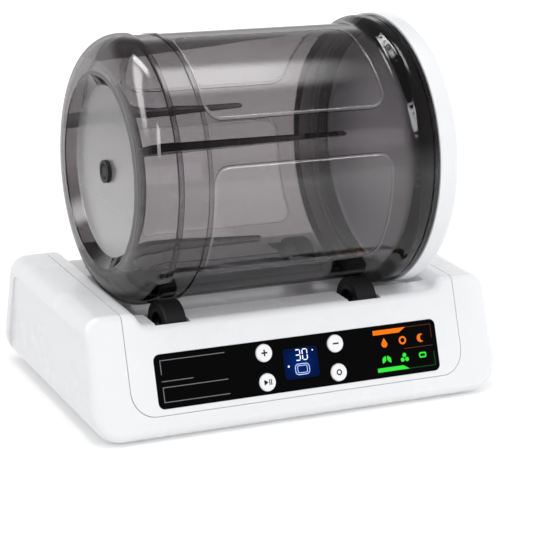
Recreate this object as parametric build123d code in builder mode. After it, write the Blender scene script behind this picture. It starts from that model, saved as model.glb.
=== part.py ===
"""Home meat vacuum tumbler: a see-through drum that turns on four rollers in a cradle base.

X runs along the drum towards its lid, Y runs to the back, Z is up and the feet stand on Z = 0.
"""
from build123d import *
from math import cos, radians, sin, sqrt, tan
import os

# Cradle base, outer form
base_width = 352.0
base_depth = 219.0
foot_height = 2.0
shoulder_rise = 9.0
side_lean = 2.5
front_lean = 21.6
back_lean = 7.0
bottom_corner_r = 24.0
top_corner_r = 14.0
shoulder_width = 45.0
step_run = 5.0
step_top_r = 9.0
step_foot_r = 5.0
face_edge_r = 7.0
wall = 2.6

# Hollow for the drum, and the line where the saddle cover meets the housing
trough_floor_z = 70.9
trough_clearance = 2.8
trough_ledge = 3.5
cover_margin = 11.5
cover_bottom = 19.5
cover_corner_r = 19.0
seam = 0.6
lap = 4.0
lap_gap = 0.2
lap_thickness = 2.0

# Hand grips moulded into both sides
grip_depth = 4.5
grip_rim = 13.0
grip_front_frame = 9.0
grip_back_frame = 13.0
grip_corner_r = 10.0

# Drum
drum_r = 102.3
drum_wall = 3.0
end_overhang = 6.0
end_r = 24.0
ridge_height = 2.2
ridge_width = 3.0
well_rim = 28.3
well_taper = 8.0
well_depth = 8.0
track_ridge_inset = 49.0
track_ridge_height = 1.0
track_ridge_width = 3.0
flare_length = 13.0
flange_height = 6.1
flange_width = 11.2
flange_groove_inset = 5.4
flange_groove_width = 1.4
flange_groove_depth = 1.0
neck_length = 9.8
neck_drop = 1.3
neck_wall = 3.5
rib_count = 5
rib_angle = 23.6
rib_end_gap = 50.0
rib_root_depth = 2.5
rib_root_thickness = 6.6
rib_tip_thickness = 3.6
rib_height_left = 15.0
rib_height_right = 4.0
panel_inset = 52.5
panel_end_gap = 13.0
panel_half_angle = 26.5
panel_corner_r = 12.0
panel_relief = 0.8

# Lid with a bayonet skirt
lid_overhang = 1.3
lid_end_gap = 5.7
lid_width = 17.1
lid_plate = 5.0
lid_edge_r = 5.5
lid_gap = 0.5
skirt_wall = 5.6
lug_count = 4
lug_angle = 30.0
lug_height = 2.2
lug_width = 2.4
tab_width = 2.6
bayonet_gap = 0.3
grip_recess_rim = 47.7
grip_recess_depth = 2.6
grip_bar_width = 26.0

# Vacuum valve in the closed end
valve_r = 8.8
valve_hole_r = 5.3
valve_flange = 3.5
valve_inner_r = 7.5
valve_inner_flange = 2.0
valve_dish_r = 6.6
valve_seat_r = 5.4
valve_dish_depth = 2.0
valve_bore_r = 2.0
plug_r = 1.9
plug_head_r = 4.2
plug_head_length = 1.4
plug_stop_r = 3.4
plug_stop_length = 1.2
plug_travel = 3.0

# Rollers and shafts
roller_r = 19.5
roller_width = 17.0
roller_inset = 55.3
rail_over_shaft = 9.0
roller_left_inset = 36.5
roller_right_gap = 13.0
roller_gap = 0.3
hub_r = 13.5
hub_recess_r = 10.5
hub_recess_depth = 5.0
hub_boss_r = 5.0
tyre_edge = 0.8
shaft_r = 2.5
shaft_fit = 0.04
slot_clearance = 1.6
slot_reach = 8.5

# Chassis plates, bushes and belt drive
plate_thickness = 3.0
plate_margin = 14.8
plate_clearance = 0.5
left_plate_gap = 12.0
right_plate_gap = 7.5
plate_foot = 12.0
bush_r = 4.0
bush_flange_r = 5.5
bush_flange = 1.0
clip_r = 4.4
clip_thickness = 0.8
clip_gap = 0.3
pulley_gap = 14.5
pulley_width = 6.0
pulley_rim = 1.0
shaft_pulley_r = 9.0
motor_pulley_r = 6.0
belt_thickness = 1.4
belt_clearance = 0.1
motor_y = -10.0
motor_floor_gap = 11.4
output_shaft_r = 3.0
gearbox_r = 18.5
gearbox_length = 24.0
motor_r = 17.5
motor_length = 52.0
motor_screw_count = 3
motor_screw_turn = 90.0
motor_screw_circle_r = 14.0
motor_screw_r = 1.5
motor_screw_head_r = 2.7
motor_screw_head = 1.6
motor_edge_r = 2.0
motor_boss_r = 5.0
motor_boss = 3.0

# Underside
bottom_side_strip = 58.0
bottom_end_strip = 34.5
bottom_ledge = 17.0
bottom_plate_thickness = 2.5
bottom_corner = 10.0
foot_r = 9.0
foot_draft = 5.0
foot_stem_r = 3.0
foot_side_inset = 38.0
foot_end_inset = 23.5
fit_gap = 0.1
post_r = 4.0
post_x = 34.0
post_inset = 11.0
screw_r = 1.5
screw_head_r = 3.2
screw_head = 1.8
screw_grip = 9.0
ledge_screw_offset = 7.0
ledge_screw_inset = 15.0

# Control panel on the sloping front
panel_side_margin = 21.1
panel_height = 41.3
panel_slope = 46.5
panel_round = 5.0
panel_thickness = 2.0
panel_sunk = 1.8
window_side_clearance = 3.4
window_end_clearance = 0.5
window_round = 3.0
display_width = 29.5
display_height = 23.5
display_round = 2.0
display_gap = 0.1
module_margin = 2.0
module_depth = 4.0
button_r = 6.9
button_gap = 0.25
button_spread_x = 30.8
button_spread_y = 11.3
button_proud = 1.3
button_collar_r = 7.8
button_collar = 1.2
button_travel = 0.8
board_margin = 6.0
board_height = 33.0
board_thickness = 1.6
board_depth = 9.5
board_post_r = 3.0
board_post_gap = 12.0
board_post_y = 12.0
board_screw_r = 1.2
board_screw_head_r = 2.4
board_screw_head = 1.4
button_edge_r = 1.0
switch_size = 6.0
switch_stem_r = 1.7
switch_body = 2.6
switch_stem = 0.9
switch_gap = 0.1

# Power inlet in the back of the cover
inlet_inset = 38.5
inlet_z = 40.0
inlet_r = 6.0
inlet_flange_r = 8.5
inlet_flange = 1.5
inlet_length = 15.0
inlet_bore_r = 2.75
inlet_bore_depth = 10.0
inlet_pin_r = 1.0
inlet_edge_r = 0.6

# Worked out from the values above
half_width = base_width / 2
half_depth = base_depth / 2
shoulder_edge_x = half_width - shoulder_width
trough_half = shoulder_edge_x - trough_ledge
cover_half = shoulder_edge_x + cover_margin
side_run = tan(radians(side_lean))
front_run = tan(radians(front_lean))
back_run = tan(radians(back_lean))
flange_r = drum_r + flange_height
lid_r = flange_r + lid_overhang
trough_r = lid_r + trough_clearance
drum_axis_z = trough_floor_z + trough_r
drum_inner_r = drum_r - drum_wall
ridge_r = drum_r + ridge_height
ridge_inner_r = ridge_r - drum_wall
drum_left = -trough_half - end_overhang
end_arc_x = drum_left + end_r
ridge_end_x = end_arc_x + ridge_width
well_mouth_r = drum_r - well_rim
well_floor_r = well_mouth_r - well_taper
well_floor_x = drum_left + well_depth
lid_right = trough_half - lid_end_gap
lid_left = lid_right - lid_width
lid_seat_x = lid_left - lid_gap
neck_end = lid_seat_x + neck_length
neck_r = drum_r - neck_drop
neck_inner_r = neck_r - neck_wall
flare_end = lid_seat_x - flange_width
flange_groove_x = lid_seat_x - flange_groove_inset
flare_start = flare_end - flare_length
track_ridge_x = drum_left + track_ridge_inset
rib_left = drum_left + drum_wall / 2
rib_right = flare_start - rib_end_gap
panel_left = drum_left + panel_inset
panel_right = flare_start - panel_end_gap
grip_recess_r = lid_r - grip_recess_rim
lid_inner_x = lid_right - lid_plate
skirt_r = lid_r - skirt_wall
lug_x = neck_end - lug_width
tab_x = lug_x - bayonet_gap - tab_width
roller_reach = drum_r + roller_gap + roller_r
roller_axis_y = half_depth - roller_inset
roller_axis_z = drum_axis_z - sqrt(roller_reach**2 - roller_axis_y**2)
roller_left_x = drum_left + roller_left_inset
roller_right_x = flare_start - roller_right_gap
rail_top = roller_axis_z + rail_over_shaft
shoulder_top = rail_top + shoulder_rise
grip_top = shoulder_top - grip_rim
floor_z = foot_height + wall
deck_z = floor_z + bottom_plate_thickness
rail_under = rail_top - wall
plate_half_depth = roller_axis_y + plate_margin
left_plate_x = roller_left_x - roller_width / 2 - left_plate_gap - plate_thickness
right_plate_x = roller_right_x + roller_width / 2 + right_plate_gap
pulley_x = left_plate_x - pulley_gap - pulley_width
motor_z = deck_z + motor_floor_gap + gearbox_r
bottom_opening_x = base_width - 2 * bottom_side_strip
bottom_opening_y = base_depth - 2 * bottom_end_strip
foot_x = half_width - foot_side_inset
foot_y = half_depth - foot_end_inset
post_y = bottom_opening_y / 2 - post_inset
ledge_screw_x = bottom_opening_x / 2 + ledge_screw_offset
ledge_screw_y = bottom_opening_y / 2 - ledge_screw_inset
panel_width = 2 * (cover_half - panel_side_margin)
window_width = 2 * (button_spread_x + button_collar_r + window_side_clearance)
window_height = 2 * (button_spread_y + button_collar_r + window_end_clearance)
board_post_x = window_width / 2 + board_post_gap
board_width = 2 * (board_post_x + board_margin)
inlet_x = cover_half - inlet_inset
end_inner_r = end_r - drum_wall
end_middle_r = end_r - drum_wall / 2
rib_root_r = drum_inner_r + rib_root_depth
valve_inside_x = well_floor_x + drum_wall + valve_inner_flange
plug_left = well_floor_x - valve_flange + valve_dish_depth - plug_head_length
plug_stop_x = valve_inside_x + plug_travel + fit_gap
button_back = -panel_sunk - button_collar
button_top = panel_thickness - panel_sunk + button_proud
switch_top = -board_depth + switch_body + switch_stem
far = 300.0

drum_axis = Axis((0, 0, drum_axis_z), (1, 0, 0))
drum_section = Plane(origin=(0, 0, drum_axis_z), x_dir=(1, 0, 0), z_dir=(0, -1, 0))
front_normal = (0, -cos(radians(front_lean)), sin(radians(front_lean)))
panel_centre = (
    0,
    -half_depth + panel_slope * sin(radians(front_lean)),
    panel_slope * cos(radians(front_lean)),
)
panel_axis = Axis(panel_centre, front_normal)
panel_plane = Plane(origin=panel_centre, x_dir=(1, 0, 0), z_dir=front_normal)
inlet_face_y = half_depth - inlet_z * back_run
inlet_plane = Plane(
    origin=(inlet_x, inlet_face_y, inlet_z),
    x_dir=(-1, 0, 0),
    z_dir=(0, cos(radians(back_lean)), sin(radians(back_lean))),
)
button_places = {
    "button_plus": (-button_spread_x, button_spread_y),
    "button_minus": (button_spread_x, button_spread_y),
    "button_start": (-button_spread_x, -button_spread_y),
    "button_stop": (button_spread_x, -button_spread_y),
}


def front_y(z, inset):
    """Y of the sloping front at height z, moved inwards by inset."""
    return -half_depth + z * front_run + inset / cos(radians(front_lean))


def back_y(z, inset):
    """Y of the back at height z, moved inwards by inset."""
    return half_depth - z * back_run - inset / cos(radians(back_lean))


def side_x(z):
    """Half width of the leaning sides at height z."""
    return half_width - z * side_run


def base_form(inset):
    """The whole cradle as one solid, every face moved inwards by inset."""
    outline = [
        (-side_x(foot_height), foot_height),
        (side_x(foot_height), foot_height),
        (side_x(shoulder_top), shoulder_top),
        (shoulder_edge_x, shoulder_top),
        (shoulder_edge_x - step_run, rail_top),
        (-shoulder_edge_x + step_run, rail_top),
        (-shoulder_edge_x, shoulder_top),
        (-side_x(shoulder_top), shoulder_top),
    ]
    radii = [
        bottom_corner_r,
        bottom_corner_r,
        top_corner_r,
        step_top_r,
        step_foot_r,
        step_foot_r,
        step_top_r,
        top_corner_r,
    ]
    with BuildPart() as form:
        with BuildSketch(Plane.XZ):
            with BuildLine():
                FilletPolyline(*outline, radius=radii, close=True)
            make_face()
            if inset > 0:
                offset(amount=-inset)
        extrude(amount=far, both=True)
        with BuildSketch(Plane.YZ):
            with BuildLine():
                Polyline(
                    (front_y(-far, inset), -far),
                    (back_y(-far, inset), -far),
                    (back_y(drum_axis_z, inset), drum_axis_z),
                    (front_y(drum_axis_z, inset), drum_axis_z),
                    close=True,
                )
            make_face()
        extrude(amount=far, both=True, mode=Mode.INTERSECT)
        front_loop = form.faces().sort_by(Axis.Y)[0].edges()
        back_loop = form.faces().sort_by(Axis.Y)[-1].edges()
        fillet(front_loop + back_loop, face_edge_r - inset)
        with BuildSketch(Plane.YZ.offset(-trough_half - inset)):
            with Locations((0, drum_axis_z)):
                Circle(trough_r + inset)
        extrude(amount=2 * (trough_half + inset), mode=Mode.SUBTRACT)
        for side in (-1, 1):
            with BuildSketch(Plane.YZ.offset(side * (half_width - grip_depth - inset))):
                with BuildLine():
                    FilletPolyline(
                        (front_y(-far, grip_front_frame - inset), -far),
                        (back_y(-far, grip_back_frame - inset), -far),
                        (back_y(grip_top + inset, grip_back_frame - inset), grip_top + inset),
                        (front_y(grip_top + inset, grip_front_frame - inset), grip_top + inset),
                        radius=grip_corner_r + inset,
                        close=True,
                    )
                make_face()
            extrude(amount=side * far, mode=Mode.SUBTRACT)
    return form.part


def cover_zone(grow):
    """The stretch of the cradle that the saddle cover takes, seen from the front."""
    height = far - cover_bottom + grow
    with BuildPart() as zone:
        with BuildSketch(Plane.XZ):
            with Locations((0, far - height / 2)):
                RectangleRounded(2 * (cover_half + grow), height, cover_corner_r + grow)
        extrude(amount=far, both=True)
    return zone.part


def belt_loop(x_left, width, grow):
    """Solid inside the belt's closed run round both pulleys, grown outwards from their grooves."""
    with BuildPart() as loop:
        with BuildSketch(Plane.YZ.offset(x_left)):
            with Locations((-roller_axis_y, roller_axis_z)):
                Circle(shaft_pulley_r + grow)
            with Locations((motor_y, motor_z)):
                Circle(motor_pulley_r + grow)
            make_hull()
        extrude(amount=width)
    return loop.part


def ring_sector(x_start, width, inner_r, outer_r, angle, count):
    """Blocks spread evenly round the drum axis, made by turning one rectangle."""
    with BuildPart() as blocks:
        for step in range(count):
            turned = drum_section.rotated((360 * step / count - angle / 2, 0, 0))
            with BuildSketch(turned):
                with Locations((x_start + width / 2, (inner_r + outer_r) / 2)):
                    Rectangle(width, outer_r - inner_r)
            revolve(axis=drum_axis, revolution_arc=angle)
    return blocks.part


def tapered_rib(facing):
    """Rib along the inside of the drum wall, thinner and lower towards the mouth."""
    side = drum_section.rotated((90 - facing, 0, 0))
    root = rib_root_thickness / 2
    tip = rib_tip_thickness / 2
    with BuildPart() as rib:
        with BuildSketch(side):
            with BuildLine():
                Polyline(
                    (rib_left, rib_root_r),
                    (rib_right, rib_root_r),
                    (rib_right, drum_inner_r - rib_height_right),
                    (rib_left, drum_inner_r - rib_height_left),
                    close=True,
                )
            make_face()
        extrude(amount=root, both=True)
        with BuildSketch(Plane(origin=side.origin, x_dir=(1, 0, 0), z_dir=side.y_dir)):
            with BuildLine():
                Polyline(
                    (rib_right - tip, tip),
                    (rib_left, root),
                    (rib_left, -root),
                    (rib_right - tip, -tip),
                )
                ThreePointArc((rib_right - tip, -tip), (rib_right, 0), (rib_right - tip, tip))
            make_face()
        extrude(amount=drum_r, mode=Mode.INTERSECT)
    return rib.part


outer_form = base_form(0)
inner_form = base_form(wall)
lap_outer = base_form(wall + lap_gap)
lap_inner = base_form(wall + lap_gap + lap_thickness)
lap_root = base_form(wall / 2)

# Moulded housing: both shoulders, the low front and back strips and the floor
with BuildPart() as lap_strip:
    add(lap_outer)
    add(cover_zone(lap), mode=Mode.INTERSECT)
    add(cover_zone(-lap), mode=Mode.SUBTRACT)
    add(lap_inner, mode=Mode.SUBTRACT)

with BuildPart() as lap_bridge:
    add(lap_root)
    add(cover_zone(lap), mode=Mode.INTERSECT)
    add(cover_zone(seam), mode=Mode.SUBTRACT)
    add(lap_inner, mode=Mode.SUBTRACT)

with BuildPart() as lower_housing:
    add(outer_form)
    add(inner_form, mode=Mode.SUBTRACT)
    add(cover_zone(seam / 2), mode=Mode.SUBTRACT)
    add(lap_bridge.part)
    add(lap_strip.part)
    with BuildSketch(Plane.XY):
        RectangleRounded(bottom_opening_x, bottom_opening_y, bottom_corner)
        with GridLocations(2 * foot_x, 2 * foot_y, 2, 2):
            Circle(foot_stem_r + fit_gap)
        with GridLocations(2 * ledge_screw_x, 2 * ledge_screw_y, 2, 2):
            Circle(screw_r + fit_gap)
    extrude(amount=floor_z + fit_gap, mode=Mode.SUBTRACT)

# Saddle cover with the trough, roller slots, panel seat, inlet hole and its posts
with BuildPart() as top_cover:
    add(outer_form)
    add(inner_form, mode=Mode.SUBTRACT)
    add(cover_zone(-seam / 2), mode=Mode.INTERSECT)
    with BuildSketch(Plane.XY.offset(deck_z)):
        with GridLocations(2 * post_x, 2 * post_y, 2, 2):
            Circle(post_r)
    extrude(amount=rail_under + wall / 2 - deck_z)
    with BuildSketch(panel_plane.offset(-board_depth)):
        with GridLocations(2 * board_post_x, 2 * board_post_y, 2, 2):
            Circle(board_post_r)
    extrude(amount=board_depth - wall / 2)
    with BuildSketch(Plane.XY.offset(deck_z)):
        with GridLocations(2 * post_x, 2 * post_y, 2, 2):
            Circle(screw_r + fit_gap)
    extrude(amount=screw_grip, mode=Mode.SUBTRACT)
    with BuildSketch(panel_plane.offset(-board_depth)):
        with GridLocations(2 * board_post_x, 2 * board_post_y, 2, 2):
            Circle(board_screw_r + fit_gap)
    extrude(amount=board_depth - wall - panel_thickness, mode=Mode.SUBTRACT)
    for centre in (roller_left_x, roller_right_x):
        with BuildSketch(Plane.XY.offset(rail_under - roller_r)):
            for side in (-1, 1):
                with Locations((centre - slot_reach / 2, side * roller_axis_y)):
                    Rectangle(
                        roller_width + 2 * slot_clearance + slot_reach,
                        2 * (roller_r + slot_clearance),
                    )
        extrude(amount=2 * roller_r, mode=Mode.SUBTRACT)
    with BuildSketch(panel_plane):
        RectangleRounded(
            panel_width + 2 * fit_gap, panel_height + 2 * fit_gap, panel_round + fit_gap
        )
    extrude(amount=-panel_sunk, mode=Mode.SUBTRACT)
    with BuildSketch(panel_plane):
        RectangleRounded(window_width, window_height, window_round)
    extrude(amount=-2 * wall, mode=Mode.SUBTRACT)
    with BuildSketch(inlet_plane.offset(-2 * wall)):
        Circle(inlet_r + fit_gap)
    extrude(amount=4 * wall, mode=Mode.SUBTRACT)

# Floor plate, feet and screws
with BuildPart() as bottom_plate:
    with BuildSketch(Plane.XY.offset(floor_z)):
        RectangleRounded(
            bottom_opening_x + 2 * bottom_ledge, bottom_opening_y + 2 * bottom_ledge, bottom_corner
        )
        with GridLocations(2 * post_x, 2 * post_y, 2, 2):
            Circle(screw_r + fit_gap, mode=Mode.SUBTRACT)
        with GridLocations(2 * ledge_screw_x, 2 * ledge_screw_y, 2, 2):
            Circle(screw_r + fit_gap, mode=Mode.SUBTRACT)
    extrude(amount=bottom_plate_thickness)

with BuildPart() as rubber_feet:
    with BuildSketch():
        with GridLocations(2 * foot_x, 2 * foot_y, 2, 2):
            Circle(foot_r)
    extrude(amount=foot_height, taper=-foot_draft)
    with BuildSketch(Plane.XY.offset(foot_height)):
        with GridLocations(2 * foot_x, 2 * foot_y, 2, 2):
            Circle(foot_stem_r)
    extrude(amount=wall)

with BuildPart() as case_screws:
    with BuildSketch(Plane.XY.offset(floor_z)):
        with GridLocations(2 * post_x, 2 * post_y, 2, 2):
            Circle(screw_r)
    extrude(amount=bottom_plate_thickness + screw_grip - fit_gap)
    with BuildSketch(Plane.XY.offset(floor_z)):
        with GridLocations(2 * post_x, 2 * post_y, 2, 2):
            Circle(screw_head_r)
    extrude(amount=-screw_head)
    with BuildSketch(Plane.XY.offset(deck_z)):
        with GridLocations(2 * ledge_screw_x, 2 * ledge_screw_y, 2, 2):
            Circle(screw_r)
    extrude(amount=fit_gap - wall - bottom_plate_thickness)
    with BuildSketch(Plane.XY.offset(deck_z)):
        with GridLocations(2 * ledge_screw_x, 2 * ledge_screw_y, 2, 2):
            Circle(screw_head_r)
    extrude(amount=screw_head)

# Control panel, display, board and buttons
with BuildPart() as control_panel:
    with BuildSketch(panel_plane.offset(-panel_sunk)):
        RectangleRounded(panel_width, panel_height, panel_round)
        RectangleRounded(
            display_width + 2 * display_gap,
            display_height + 2 * display_gap,
            display_round + display_gap,
            mode=Mode.SUBTRACT,
        )
        with Locations(*button_places.values()):
            Circle(button_r + button_gap, mode=Mode.SUBTRACT)
    extrude(amount=panel_thickness)

with BuildPart() as display_window:
    with BuildSketch(panel_plane.offset(-panel_sunk)):
        RectangleRounded(display_width, display_height, display_round)
    extrude(amount=panel_thickness)

with BuildPart() as display_module:
    with BuildSketch(panel_plane.offset(-panel_sunk)):
        RectangleRounded(
            display_width + 2 * module_margin, display_height + 2 * module_margin, display_round
        )
    extrude(amount=-module_depth)

with BuildPart() as control_board:
    with BuildSketch(panel_plane.offset(-board_depth)):
        Rectangle(board_width, board_height)
        with GridLocations(2 * board_post_x, 2 * board_post_y, 2, 2):
            Circle(board_screw_r + fit_gap, mode=Mode.SUBTRACT)
    extrude(amount=-board_thickness)
    with BuildSketch(panel_plane.offset(-board_depth)):
        Rectangle(display_width, display_height)
    extrude(amount=board_depth - panel_sunk - module_depth)

with BuildPart() as board_screws:
    with BuildSketch(panel_plane.offset(-board_depth - board_thickness)):
        with GridLocations(2 * board_post_x, 2 * board_post_y, 2, 2):
            Circle(board_screw_head_r)
    extrude(amount=-board_screw_head)
    with BuildSketch(panel_plane.offset(-board_depth - board_thickness)):
        with GridLocations(2 * board_post_x, 2 * board_post_y, 2, 2):
            Circle(board_screw_r)
    extrude(amount=board_thickness + board_depth - wall - panel_thickness - fit_gap)

with BuildPart() as tact_switches:
    with BuildSketch(panel_plane.offset(-board_depth)):
        with Locations(*button_places.values()):
            Rectangle(switch_size, switch_size)
    extrude(amount=switch_body)
    with BuildSketch(panel_plane.offset(switch_top)):
        with Locations(*button_places.values()):
            Circle(switch_stem_r)
    extrude(amount=-switch_stem)

buttons = {}
for button_name, place in button_places.items():
    with BuildPart() as button:
        with BuildSketch(panel_plane.offset(button_back)):
            with Locations(place):
                Circle(button_r)
        extrude(amount=button_top - button_back)
        fillet(button.edges().sort_by(panel_axis)[-1], button_edge_r)
        with BuildSketch(panel_plane.offset(button_back)):
            with Locations(place):
                Circle(button_collar_r)
        extrude(amount=button_collar)
        with BuildSketch(panel_plane.offset(button_back)):
            with Locations(place):
                Circle(switch_stem_r)
        extrude(amount=switch_top + button_travel + switch_gap - button_back)
    buttons[button_name] = button.part

# Barrel power inlet in the back of the cover
with BuildPart() as power_inlet:
    with BuildSketch(inlet_plane):
        Circle(inlet_flange_r)
    extrude(amount=inlet_flange)
    fillet(power_inlet.edges().sort_by(Axis.Y)[-1], inlet_edge_r)
    with BuildSketch(inlet_plane):
        Circle(inlet_r)
    extrude(amount=-inlet_length)
    with BuildSketch(inlet_plane.offset(inlet_flange)):
        Circle(inlet_bore_r)
    extrude(amount=-inlet_bore_depth, mode=Mode.SUBTRACT)
    with BuildSketch(inlet_plane.offset(inlet_flange - inlet_bore_depth)):
        Circle(inlet_pin_r)
    extrude(amount=inlet_bore_depth - inlet_flange)

# Chassis plates that carry both shafts; the left one also carries the motor
def bearing_plate(x_left, foot_side, holes_for_motor):
    """Upright plate with a folded foot; foot_side is 1 when the foot points along +X."""
    with BuildPart() as plate:
        with BuildSketch(Plane.YZ.offset(x_left)):
            with Locations((0, (deck_z + rail_under - plate_clearance) / 2)):
                Rectangle(2 * plate_half_depth, rail_under - plate_clearance - deck_z)
            with Locations((0, drum_axis_z)):
                Circle(trough_r + wall + plate_clearance, mode=Mode.SUBTRACT)
            with Locations((-roller_axis_y, roller_axis_z), (roller_axis_y, roller_axis_z)):
                Circle(bush_r + fit_gap / 2, mode=Mode.SUBTRACT)
            if holes_for_motor:
                with Locations((motor_y, motor_z)):
                    Circle(output_shaft_r + slot_clearance, mode=Mode.SUBTRACT)
                    with PolarLocations(motor_screw_circle_r, motor_screw_count, motor_screw_turn):
                        Circle(motor_screw_r + fit_gap, mode=Mode.SUBTRACT)
        extrude(amount=plate_thickness)
        foot_x_left = x_left if foot_side > 0 else x_left + plate_thickness - plate_foot
        with BuildSketch(Plane.XY.offset(deck_z)):
            with Locations((foot_x_left + plate_foot / 2, 0)):
                Rectangle(plate_foot, 2 * plate_half_depth)
        extrude(amount=plate_thickness)
    return plate.part


left_plate = bearing_plate(left_plate_x, 1, True)
right_plate = bearing_plate(right_plate_x, 1, False)

with BuildPart() as shaft_bushes:
    for x_left in (left_plate_x, right_plate_x):
        for side in (-1, 1):
            with BuildSketch(Plane.YZ.offset(x_left)):
                with Locations((side * roller_axis_y, roller_axis_z)):
                    Circle(bush_r)
                    Circle(shaft_r + shaft_fit, mode=Mode.SUBTRACT)
            extrude(amount=plate_thickness)
            with BuildSketch(Plane.YZ.offset(x_left + plate_thickness)):
                with Locations((side * roller_axis_y, roller_axis_z)):
                    Circle(bush_flange_r)
                    Circle(shaft_r + shaft_fit, mode=Mode.SUBTRACT)
            extrude(amount=bush_flange)


def shaft_rod(side, x_left, x_right):
    """Plain rod that carries the two rollers of one side."""
    with BuildPart() as rod:
        with BuildSketch(Plane.YZ.offset(x_left)):
            with Locations((side * roller_axis_y, roller_axis_z)):
                Circle(shaft_r)
        extrude(amount=x_right - x_left)
    return rod.part


def roller_pair(side, profile_points):
    """Two equal turned rings on one shaft, from half a section given as (along, radius)."""
    with BuildPart() as pair:
        for centre in (roller_left_x, roller_right_x):
            section = Plane(
                origin=(centre, side * roller_axis_y, roller_axis_z),
                x_dir=(1, 0, 0),
                z_dir=(0, -1, 0),
            )
            with BuildSketch(section):
                with BuildLine():
                    Polyline(*profile_points, close=True)
                make_face()
            revolve(axis=Axis(section.origin, (1, 0, 0)))
    return pair.part


hub_half = roller_width / 2
hub_section = [
    (-hub_half, shaft_r),
    (-hub_half, hub_boss_r),
    (-hub_half + hub_recess_depth, hub_boss_r),
    (-hub_half + hub_recess_depth, hub_recess_r),
    (-hub_half, hub_recess_r),
    (-hub_half, hub_r),
    (hub_half, hub_r),
    (hub_half, hub_recess_r),
    (hub_half - hub_recess_depth, hub_recess_r),
    (hub_half - hub_recess_depth, hub_boss_r),
    (hub_half, hub_boss_r),
    (hub_half, shaft_r),
]
tyre_section = [
    (-hub_half, hub_r),
    (-hub_half, roller_r - tyre_edge),
    (-hub_half + tyre_edge, roller_r),
    (hub_half - tyre_edge, roller_r),
    (hub_half, roller_r - tyre_edge),
    (hub_half, hub_r),
]


def shaft_clips(side, x_places):
    """Spring rings that keep a shaft from sliding out of its bushes."""
    with BuildPart() as clips:
        for x_left in x_places:
            with BuildSketch(Plane.YZ.offset(x_left)):
                with Locations((side * roller_axis_y, roller_axis_z)):
                    Circle(clip_r)
                    Circle(shaft_r, mode=Mode.SUBTRACT)
            extrude(amount=clip_thickness)
    return clips.part


clip_places = (
    left_plate_x - clip_gap - clip_thickness,
    right_plate_x + plate_thickness + bush_flange + clip_gap,
)
shaft_right = clip_places[1] + clip_thickness + clip_gap
idler_left = clip_places[0] - clip_gap
drive_shaft = shaft_rod(-1, pulley_x, shaft_right)
idler_shaft = shaft_rod(1, idler_left, shaft_right)
drive_hubs = roller_pair(-1, hub_section)
idler_hubs = roller_pair(1, hub_section)
drive_tyres = roller_pair(-1, tyre_section)
idler_tyres = roller_pair(1, tyre_section)
drive_clips = shaft_clips(-1, clip_places)
idler_clips = shaft_clips(1, clip_places)


def pulley(centre_y, centre_z, groove_r, bore_r):
    """Flanged belt pulley at the left end of the drive."""
    with BuildPart() as wheel:
        with BuildSketch(Plane.YZ.offset(pulley_x)):
            with Locations((centre_y, centre_z)):
                Circle(groove_r)
                Circle(bore_r, mode=Mode.SUBTRACT)
        extrude(amount=pulley_width)
        for x_left in (pulley_x, pulley_x + pulley_width - pulley_rim):
            with BuildSketch(Plane.YZ.offset(x_left)):
                with Locations((centre_y, centre_z)):
                    Circle(groove_r + belt_thickness)
                    Circle(bore_r, mode=Mode.SUBTRACT)
            extrude(amount=pulley_rim)
    return wheel.part


shaft_pulley = pulley(-roller_axis_y, roller_axis_z, shaft_pulley_r, shaft_r)
motor_pulley = pulley(motor_y, motor_z, motor_pulley_r, output_shaft_r)

belt_x = pulley_x + pulley_rim + belt_clearance
belt_width = pulley_width - 2 * (pulley_rim + belt_clearance)
belt_outside = belt_loop(belt_x, belt_width, belt_clearance + belt_thickness)
belt_inside = belt_loop(belt_x, belt_width, belt_clearance)
with BuildPart() as drive_belt:
    add(belt_outside)
    add(belt_inside, mode=Mode.SUBTRACT)

# Geared motor bolted to the right face of the left plate
gearbox_x = left_plate_x + plate_thickness
with BuildPart() as output_shaft:
    with BuildSketch(Plane.YZ.offset(pulley_x)):
        with Locations((motor_y, motor_z)):
            Circle(output_shaft_r)
    extrude(amount=gearbox_x + gearbox_length / 2 - pulley_x)

with BuildPart() as gearbox:
    with BuildSketch(Plane.YZ.offset(gearbox_x)):
        with Locations((motor_y, motor_z)):
            Circle(gearbox_r)
    extrude(amount=gearbox_length)
    with BuildSketch(Plane.YZ.offset(gearbox_x)):
        with Locations((motor_y, motor_z)):
            Circle(output_shaft_r + shaft_fit)
            with PolarLocations(motor_screw_circle_r, motor_screw_count, motor_screw_turn):
                Circle(motor_screw_r + fit_gap)
    extrude(amount=gearbox_length / 2, mode=Mode.SUBTRACT)

with BuildPart() as drive_motor:
    with BuildSketch(Plane.YZ.offset(gearbox_x + gearbox_length)):
        with Locations((motor_y, motor_z)):
            Circle(motor_r)
    extrude(amount=motor_length)
    fillet(drive_motor.edges().sort_by(Axis.X)[-1], motor_edge_r)
    with BuildSketch(Plane.YZ.offset(gearbox_x + gearbox_length + motor_length)):
        with Locations((motor_y, motor_z)):
            Circle(motor_boss_r)
    extrude(amount=motor_boss)

with BuildPart() as motor_screws:
    with BuildSketch(Plane.YZ.offset(left_plate_x)):
        with Locations((motor_y, motor_z)):
            with PolarLocations(motor_screw_circle_r, motor_screw_count, motor_screw_turn):
                Circle(motor_screw_head_r)
    extrude(amount=-motor_screw_head)
    with BuildSketch(Plane.YZ.offset(left_plate_x)):
        with Locations((motor_y, motor_z)):
            with PolarLocations(motor_screw_circle_r, motor_screw_count, motor_screw_turn):
                Circle(motor_screw_r)
    extrude(amount=plate_thickness + gearbox_length / 2 - fit_gap)

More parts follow.
